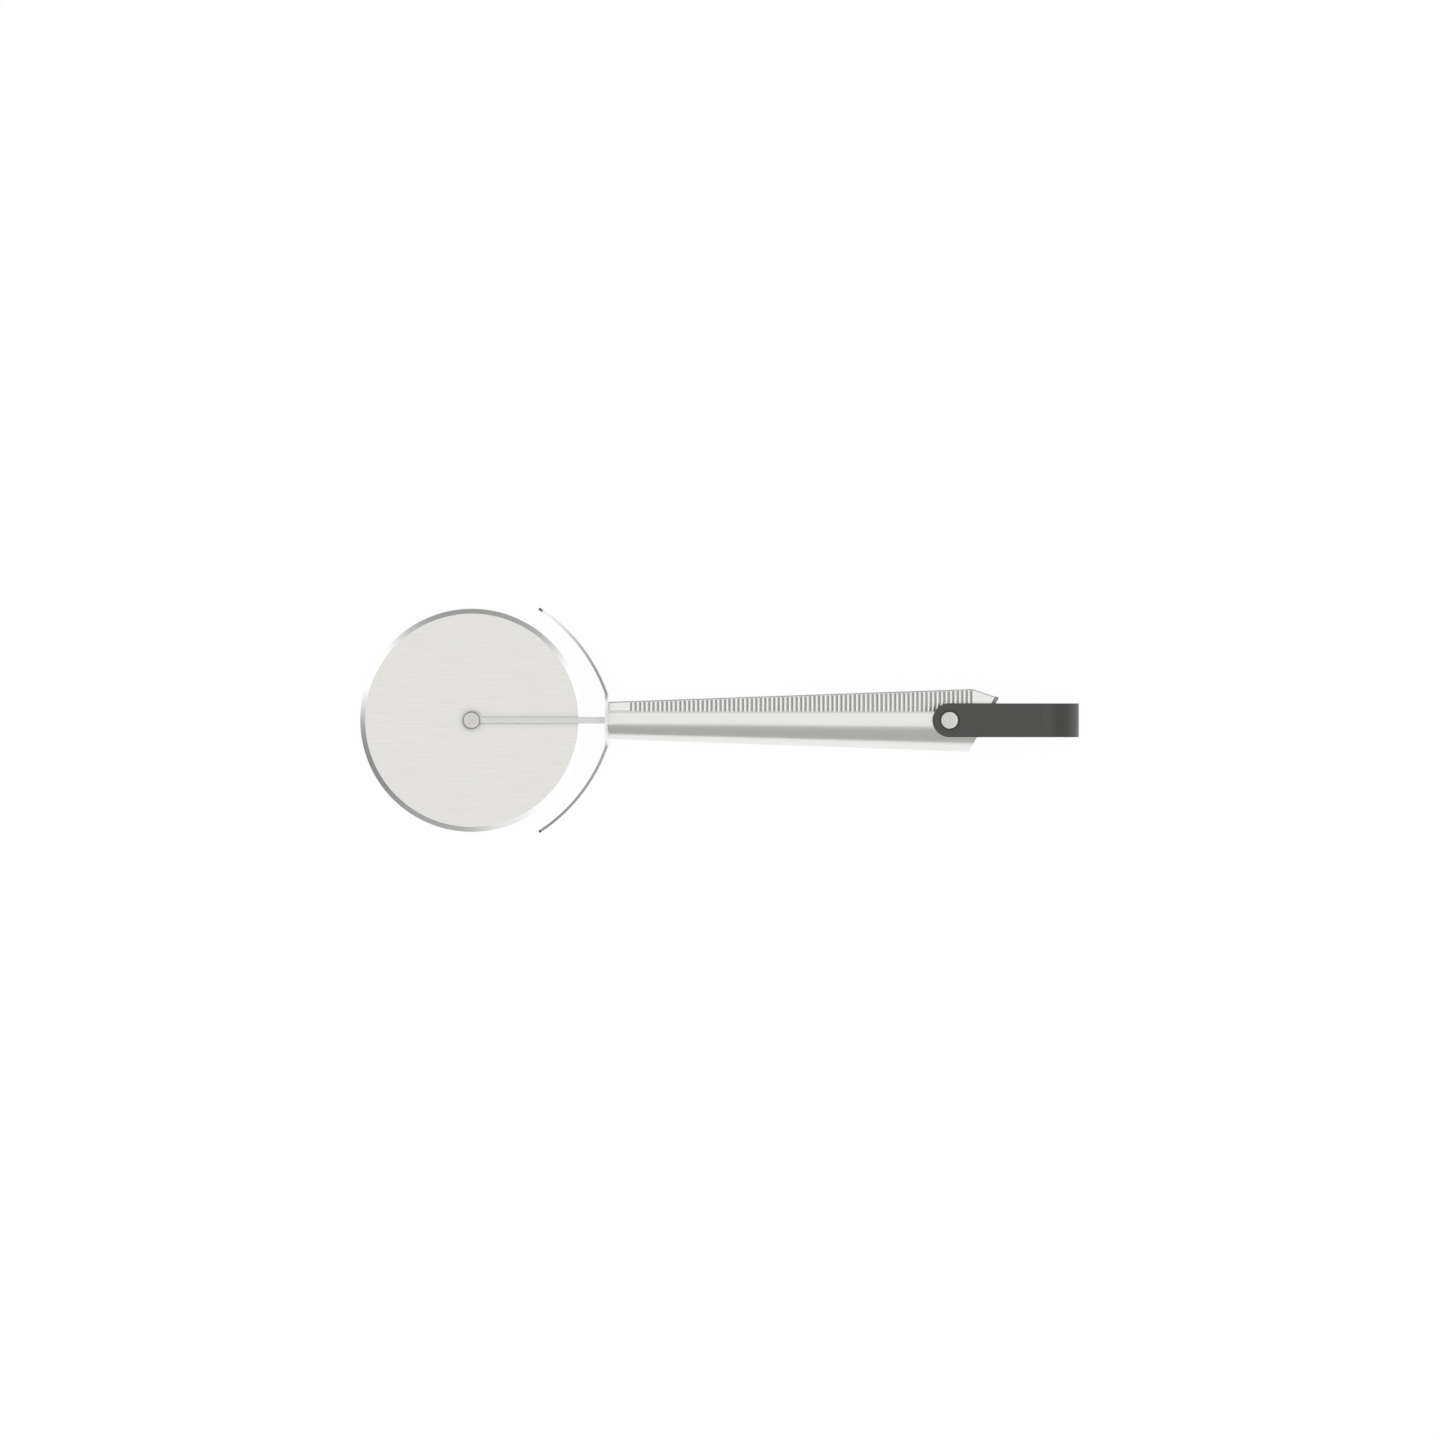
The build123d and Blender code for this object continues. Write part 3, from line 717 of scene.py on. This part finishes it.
guardStrip = {
    "name": "guardStrip", "body": "handle", "nodes": ["guard"], "slot": "polished_steel",
    # the second finish is painted shade for the narrow edge at the tips
    "finish": [finishes["guardSteel"], finishes["paintedShadeEdge"]],
    "sheet": 1.2, "width": 33.95, "flatEndY": 11.7, "centre": (-121.63, -13.46), "radius": 75.4,
    "tipY": 50.0, "levelEndY": 2.5, "shoulderRadius": 38.0, "taper": 14.5, "corner": 2.2,
    # beyond 49.5 mm from the middle the narrow edge carries the painted shade
    "arcSteps": 40, "cornerSteps": 8, "rim": 0.12, "paintedShadeY": 49.5, "edgeSlack": 0.3,
    "holeRadius": 2.6, "holeLength": 10,
}


def guardHalfWidth(values, run, runEnd):
    # level, then a shoulder arc, then a straight taper to a rounded corner
    taper = math.radians(values["taper"])
    past = min(max(0.0, run - values["levelEndY"]), values["shoulderRadius"] * math.sin(taper))
    drop = values["shoulderRadius"] - math.sqrt(values["shoulderRadius"] ** 2 - past ** 2)
    drop += math.tan(taper) * max(0.0, run - values["levelEndY"] - past)
    pastCorner = max(0.0, run - runEnd + values["corner"])
    drop += values["corner"] - math.sqrt(max(0.0, values["corner"] ** 2 - pastCorner ** 2))
    return values["width"] / 2 - drop


def makeGuard(values):
    # half of the strip: the level part, then drawn out step by step along the arc and narrowed
    clearSelection()
    midX = (places["guardInnerX"] + places["guardOuterX"]) / 2
    bpy.ops.mesh.primitive_plane_add(
        size=1, location=(midX * mm, values["levelEndY"] / 2 * mm, places["midZ"] * mm),
        rotation=(0, math.pi / 2, 0))
    bpy.context.object.scale = (values["width"] * mm, values["levelEndY"] * mm, 1)
    piece = startPiece(values["name"])
    selectEdges(lambda a, b: near(a.y, values["levelEndY"]) and near(b.y, values["levelEndY"]))
    centreX, centreY = values["centre"]
    radius, flatEnd = values["radius"], values["flatEndY"]
    start, end = (math.asin((y - centreY) / radius) for y in (flatEnd, values["tipY"]))
    runEnd = flatEnd + radius * (end - start)
    cornerRun = runEnd - values["corner"]
    length = cornerRun - values["levelEndY"]
    runs = [flatEnd]
    for step in range(values["arcSteps"] + 1):
        runs.append(values["levelEndY"] + length * step / values["arcSteps"])
    for step in range(1, values["cornerSteps"] + 1):
        angle = math.pi / 2 * step / values["cornerSteps"]
        runs.append(cornerRun + values["corner"] * math.sin(angle))
    runs.sort()
    for before, after in zip(runs, runs[1:]):
        bpy.ops.mesh.extrude_region_move(TRANSFORM_OT_translate={"value": (0, 0, 0)})
        if after <= flatEnd:
            moveNorth(after - before)
        else:
            bpy.ops.transform.rotate(value=(before - after) / radius, orient_axis="Z",
                                     center_override=(centreX * mm, centreY * mm, 0))
        ratio = guardHalfWidth(values, after, runEnd) / guardHalfWidth(values, before, runEnd)
        bpy.ops.transform.resize(value=(1, 1, ratio), center_override=(0, 0, places["midZ"] * mm))
    endPiece()
    applyModifier(piece, "MIRROR", use_axis=(False, True, False))
    bpy.ops.object.mode_set(mode="EDIT")
    tidyMesh()
    endPiece()
    applyModifier(piece, "SOLIDIFY", thickness=values["sheet"] * mm, offset=0.0, use_even_offset=True)

    def onEdge(c):
        reach = math.hypot(c.x - centreX, abs(c.y) - centreY)
        slack = values["edgeSlack"]
        return near(reach, radius, slack) if abs(c.y) > flatEnd else near(c.x, midX, slack)

    # the narrow edge takes a painted shade at the two tips: a near-black finish in place of the shadowed floor it
    # reflects
    bpy.ops.object.mode_set(mode="EDIT")
    for material in values["finish"]:
        piece.data.materials.append(material)
    selectFaces(lambda c, n: onEdge(c) and abs(c.y) > values["paintedShadeY"])
    piece.active_material_index = 1
    bpy.ops.object.material_slot_assign()
    endPiece()
    softenRims(piece, values["rim"], segments=2)
    carve(piece, longPin(values["holeRadius"], midX, values["holeLength"]))
    smooth(piece, angle=30)
    fit(piece, values)


handleTrough = {
    "name": "handleTrough", "body": "handle", "nodes": ["handle_shell"], "slot": "satin_handle_steel",
    "finish": [finishes["handleSteel"]],
    "wall": 1.2, "edgeY": 3.8, "levels": 6, "frontLean": 0.5, "rearLean": 0.12, "rearFlat": 2.6,
    "holeRadius": 2.55, "holeReach": 20, "rim": 0.14,
}


def makeTrough(values):
    lowX, highX = places["shellFrontX"], places["shellEndX"] + handleForm["past"]
    piece = handleBar(values["name"], lowX, highX)
    cutPlane((0, values["edgeY"], 0), (0, 1, 0))
    heights = [values["edgeY"] * step / values["levels"] for step in range(1, values["levels"] + 1)]
    for y in heights[:-1]:
        bpy.ops.mesh.select_all(action="SELECT")
        bpy.ops.mesh.bisect(plane_co=(0, y * mm, 0), plane_no=(0, 1, 0))
    # the walls lean in a little towards their upper edges
    for y in heights:
        rearShare = max(0.0, y - values["rearFlat"]) / (values["edgeY"] - values["rearFlat"])
        frontLean = values["frontLean"] * (y / values["edgeY"]) ** 2
        rearLean = values["rearLean"] * rearShare ** 2
        for x, lean in ((lowX, frontLean), (highX, rearLean)):
            selectPoints(lambda p: near(p.x, x) and near(p.y, y))
            ratio = 1 - lean / halfWidth(x)
            bpy.ops.transform.resize(value=(1, 1, ratio), center_override=(0, 0, places["midZ"] * mm))
    cutEnd(0.0)
    tidyMesh()
    endPiece()
    hollow = handleBar("hollow", lowX - handleForm["past"], highX + handleForm["past"],
                       side=values["wall"], back=values["wall"])
    endPiece()
    carve(piece, hollow)
    carve(piece, pin("rivetHole", values["holeRadius"], -values["holeReach"], values["holeReach"],
                     places["rivetX"]))
    softenRims(piece, values["rim"], segments=2, angle=50)
    smooth(piece)
    fit(piece, values)


grooves = {
    "firstX": -37.65, "pitch": 2.0, "count": 76, "width": 1.25, "depth": 0.38, "topMargin": 0.8,
    "lowY": -3.0, "taperRun": 100,
}


def carveGrooves(piece, firstX, count):
    # one pointed tool, repeated along each side's taper
    run = grooves["taperRun"]
    rise = (halfHeight(run) - halfHeight(0)) / run * grooves["pitch"]
    spread = (halfWidth(run) - halfWidth(0)) / run * grooves["pitch"]
    height = halfHeight(firstX) - grooves["topMargin"] - grooves["lowY"]
    for side in (1, -1):
        clearSelection()
        bpy.ops.mesh.primitive_cylinder_add(
            vertices=4, radius=grooves["width"] / 2 * mm, depth=height * mm,
            location=(firstX * mm, (grooves["lowY"] + height / 2) * mm,
                      (places["midZ"] + side * halfWidth(firstX)) * mm),
            rotation=(math.pi / 2, 0, 0))
        tool = bpy.context.object
        tool.scale = (1, grooves["depth"] / (grooves["width"] / 2), 1)
        bpy.ops.object.transform_apply(location=True, rotation=True, scale=True)
        applyModifier(tool, "ARRAY", count=count, use_relative_offset=False, use_constant_offset=True,
                      constant_offset_displace=(grooves["pitch"] * mm, rise * mm, side * spread * mm))
        carve(piece, tool)


ribbedGrip = {
    "name": "ribbedGrip", "body": "handle", "nodes": ["grip_insert"], "slot": "satin_insert_metal",
    "finish": [finishes["gripMetal"]],
    "frontX": -39.15, "lowY": 3.95, "topRadius": 0.8, "sideWall": 2.6, "topWall": 2.0,
    "slopeWallShare": 1.055, "tongueSide": 1.3, "tongueLowY": 0.4, "tongueSetback": 6.9,
    "reliefRadius": 4.2, "reliefReach": 14.5, "rim": 0.12,
}


def makeGrip(values):
    highX = places["shellEndX"] + handleForm["past"]
    piece = handleBar(values["name"], values["frontX"], highX)
    cutPlane((0, values["lowY"], 0), (0, -1, 0))
    cutSlope()
    cutEnd(handleForm["capSetback"])
    roundTopEdges(values["topRadius"])
    tidyMesh()
    endPiece()
    tongue = handleBar("tongue", values["frontX"], highX, side=values["tongueSide"], top=values["topWall"])
    cutPlane((0, values["tongueLowY"], 0), (0, -1, 0))
    cutSlope(values["topWall"])
    cutEnd(values["tongueSetback"])
    tidyMesh()
    endPiece()
    carve(piece, tongue, "UNION")
    hollow = handleBar("hollow", values["frontX"] - handleForm["past"], highX + handleForm["past"],
                       side=values["sideWall"], top=values["topWall"])
    cutSlope(values["topWall"] * values["slopeWallShare"])
    tidyMesh()
    endPiece()
    carve(piece, hollow)
    carve(piece, pin("relief", values["reliefRadius"], -values["reliefReach"], values["reliefReach"],
                     places["rivetX"]))
    # a cut through every rib first, so that each groove has small faces round it
    bpy.ops.object.mode_set(mode="EDIT")
    for number in range(grooves["count"] + 1):
        ribX = grooves["firstX"] + (number - 0.5) * grooves["pitch"]
        bpy.ops.mesh.select_all(action="SELECT")
        bpy.ops.mesh.bisect(plane_co=(ribX * mm, 0, 0), plane_no=(1, 0, 0))
    endPiece()
    carveGrooves(piece, grooves["firstX"], grooves["count"])
    softenRims(piece, values["rim"], segments=2, angle=50)
    smooth(piece)
    fit(piece, values)


noseBlock = {
    "name": "noseBlock", "body": "handle", "nodes": ["front_plug"], "slot": "satin_insert_metal",
    "finish": [finishes["gripMetal"]],
    "endX": -39.17, "coreEndX": -39.15, "grooveX": -39.65, "coreInset": 1.3, "coreDrop": 0.05,
    "lowY": 4.1, "topRadius": 0.8, "boreRadius": 2.6, "boreLength": 40, "rim": 0.3,
}


def makeNose(values):
    piece = handleBar(values["name"], places["shellFrontX"], values["endX"])
    cutPlane((0, values["lowY"], 0), (0, -1, 0))
    roundTopEdges(values["topRadius"])
    tidyMesh()
    endPiece()
    softenRims(piece, values["rim"])
    carveGrooves(piece, values["grooveX"], 1)
    core = handleBar("core", places["guardOuterX"], values["coreEndX"], side=values["coreInset"],
                     top=values["coreDrop"], back=values["coreInset"])
    endPiece()
    carve(piece, core, "UNION")
    carve(piece, longPin(values["boreRadius"], places["shellFrontX"], values["boreLength"]))
    smooth(piece)
    fit(piece, values)


endPlate = {
    "name": "endPlate", "body": "handle", "nodes": ["end_cap"], "slot": "dark_cap_plastic",
    "finish": [finishes["darkPlastic"]],
    "thickness": 1.6, "topRadius": 0.8, "rim": 0.3, "seamY": 3.95, "spigotInset": 1.3,
    "spigotWall": 1.4, "spigotLength": 5.0, "spigotTopY": 0.4,
}


def makeEndPlate(values):
    lowX = places["shellEndX"] - handleForm["rearHeight"]
    highX = places["shellEndX"] + handleForm["past"]
    piece = handleBar(values["name"], lowX, highX)
    cutSlope()
    roundTopEdges(values["topRadius"])
    cutEnd(0.0)
    cutEnd(values["thickness"], keepFront=False)
    tidyMesh()
    endPiece()
    # below the seam the plate fits inside the trough
    around = handleBar("around", lowX, highX, side=-handleForm["past"], back=-handleForm["past"])
    cutPlane((0, values["seamY"], 0), (0, 1, 0))
    endPiece()
    within = handleBar("within", lowX - handleForm["past"], highX + handleForm["past"],
                       side=values["spigotInset"], back=values["spigotInset"])
    endPiece()
    carve(around, within)
    carve(piece, around)
    softenRims(piece, values["rim"], angle=30)
    spigot = handleBar("spigot", lowX, highX, side=values["spigotInset"], back=values["spigotInset"])
    cutPlane((0, values["spigotTopY"], 0), (0, 1, 0))
    cutEnd(values["thickness"] / 2)
    cutEnd(values["thickness"] + values["spigotLength"], keepFront=False)
    tidyMesh()
    endPiece()
    inset = values["spigotInset"] + values["spigotWall"]
    inner = handleBar("inner", lowX - handleForm["past"], highX + handleForm["past"],
                      side=inset, back=inset)
    endPiece()
    carve(spigot, inner)
    carve(piece, spigot, "UNION")
    smooth(piece)
    fit(piece, values)


wheelFork = {
    "name": "wheelFork", "body": "handle", "nodes": ["fork"], "slot": "fork_steel",
    "finish": [finishes["forkSteel"]],
    "armWidth": 2.8, "armRim": 0.14, "bridge": 4.4, "eyeRadius": 4.6, "eyeLow": 3.2, "eyeHigh": 6.4,
    "armLow": 3.7, "armHigh": 6.9, "stepLength": 2.7, "eyeRim": 0.1, "seatRadius": 4.3,
    "seatReach": 12, "recessRadius": 4.0, "recessZ": 5.4, "boreRadius": 2.25, "tangRadius": 2.5,
    "tangLength": 19.5, "markPlace": (-107.35, -1.45), "markRadius": 0.42, "markDepth": 0.5,
}


def makeFork(values):
    axleX, innerX, midZ = places["axleX"], places["guardInnerX"], places["midZ"]
    bridgeX = innerX - values["bridge"]
    stepStart = axleX + values["eyeRadius"]
    stepEnd = stepStart + values["stepLength"]
    upper = [(bridgeX, values["armLow"]), (stepEnd, values["armLow"]), (stepStart, values["eyeLow"]),
             (axleX, values["eyeLow"]), (axleX, values["eyeHigh"]), (stepStart, values["eyeHigh"]),
             (stepEnd, values["armHigh"]), (innerX, values["armHigh"])]
    outline = upper + [(x, -z) for x, z in reversed(upper)]
    half = values["armWidth"] / 2
    points = [(x, -half, midZ + z) for x, z in outline]
    piece = fillOutline(values["name"], points, (0, values["armWidth"], 0))
    selectEdges(lambda a, b: near(a.y, b.y))
    bpy.ops.mesh.bevel(offset=values["armRim"] * mm, segments=3, affect="EDGES")
    tidyMesh()
    endPiece()
    carve(piece, pin("seat", values["seatRadius"], -values["seatReach"], values["seatReach"], axleX))
    for side in (1, -1):
        low, high, floor = (side * values[key] for key in ("eyeLow", "eyeHigh", "recessZ"))
        profile = [(values["boreRadius"], low), (values["eyeRadius"], low), (values["eyeRadius"], high),
                   (values["recessRadius"], high), (values["recessRadius"], floor), (values["boreRadius"], floor)]
        carve(piece, turnProfile("eye", profile, axleX, rim=values["eyeRim"], segments=3), "UNION")
    # a small dark pit where the arm leaves the eye
    clearSelection()
    markX, markY = values["markPlace"]
    bpy.ops.mesh.primitive_cylinder_add(
        vertices=24, radius=values["markRadius"] * mm, depth=2 * values["markDepth"] * mm,
        location=(markX * mm, markY * mm, (midZ + values["eyeHigh"]) * mm))
    carve(piece, bpy.context.object)
    tangMiddleX = innerX + values["tangLength"] / 2
    carve(piece, longPin(values["tangRadius"], tangMiddleX, values["tangLength"]), "UNION")
    smooth(piece)
    fit(piece, values)


pins = [
    {"name": "axlePin", "nodes": ["axle_pin"], "x": places["axleX"], "rim": 0.3, "profile": [
        (0, -6.5), (1.5, -6.5), (1.5, -5.4), (2.25, -5.4), (2.25, 5.4), (3.7, 5.4), (3.7, 6.5),
        (0, 6.5)]},
    {"name": "axlePinCap", "nodes": ["axle_pin_cap"], "x": places["axleX"], "rim": 0.3, "profile": [
        (1.5, -6.5), (3.7, -6.5), (3.7, -5.4), (1.5, -5.4)]},
    {"name": "strapRivet", "nodes": ["strap_rivet"], "x": places["rivetX"], "rim": 0.25, "profile": [
        (0, -16.8), (1.7, -16.8), (1.7, -15.9), (2.5, -15.9), (2.5, 15.9), (3.85, 15.9), (3.85, 16.8),
        (0, 16.8)]},
    {"name": "strapRivetCap", "nodes": ["strap_rivet_cap"], "x": places["rivetX"], "rim": 0.25, "profile": [
        (1.7, -16.8), (3.85, -16.8), (3.85, -15.9), (1.7, -15.9)]},
]


def makePins():
    for values in pins:
        piece = turnProfile(values["name"], values["profile"], values["x"], rim=values["rim"], segments=4)
        fit(piece, dict(values, body="handle", slot="rivet_steel", finish=[finishes["rivetSteel"]]))


strapLoop = {
    "name": "strapLoop", "body": "strap", "nodes": ["strap"], "slot": "dark_rubber",
    "finish": [finishes["rubber"]],
    "width": 15.1, "thickness": 2.5, "legZ": 15.75, "foldX": 144.05, "foldSteps": 48, "rim": 0.45,
    "holeRadius": 2.55, "holeReach": 20, "counterbore": 4.65, "counterboreZ": 15.7,
    "endSteps": 24, "endGap": 0.002,
}


def makeStrap(values):
    clearSelection()
    half = values["width"] / 2
    lowX, foldX, midZ = places["rivetX"] - half, values["foldX"], places["midZ"]
    bpy.ops.mesh.primitive_plane_add(
        size=1, location=((lowX + foldX) / 2 * mm, 0, (midZ + values["legZ"]) * mm))
    bpy.context.object.scale = ((foldX - lowX) * mm, values["width"] * mm, 1)
    piece = startPiece(values["name"])
    selectEdges(lambda a, b: near(a.x, foldX) and near(b.x, foldX))
    bpy.ops.mesh.spin(steps=values["foldSteps"], angle=-math.pi, center=(foldX * mm, 0, midZ * mm),
                      axis=(0, 1, 0))
    farZ = midZ - values["legZ"]
    selectEdges(lambda a, b: all(near(p.x, foldX) and near(p.z, farZ) for p in (a, b)))
    bpy.ops.mesh.extrude_region_move(TRANSFORM_OT_translate={"value": ((lowX - foldX) * mm, 0, 0)})
    tidyMesh()
    selectPoints(lambda p: near(p.x, lowX))
    bpy.ops.mesh.bevel(offset=(half - values["endGap"]) * mm, segments=values["endSteps"],
                       affect="VERTICES")
    tidyMesh()
    endPiece()
    applyModifier(piece, "SOLIDIFY", thickness=values["thickness"] * mm, offset=0.0, use_even_offset=True)
    carve(piece, pin("hole", values["holeRadius"], -values["holeReach"], values["holeReach"],
                     places["rivetX"]))
    for side in (1, -1):
        low, high = sorted((side * values["counterboreZ"], side * values["holeReach"]))
        carve(piece, pin("counterbore", values["counterbore"], low, high, places["rivetX"], sides=96))
    softenRims(piece, values["rim"], segments=4)
    smooth(piece)
    fit(piece, values)


setCamera()
clearSelection()
setWorld()
setFloor()
setLamp()
for name, finish in carriedFinishes.items():
    nodes[name].data.materials.clear()
    nodes[name].data.materials.append(finishes[finish])
makeBlade(bladeDisc)
makeGuard(guardStrip)
makeTrough(handleTrough)
makeGrip(ribbedGrip)
makeNose(noseBlock)
makeEndPlate(endPlate)
makeFork(wheelFork)
makePins()
makeStrap(strapLoop)
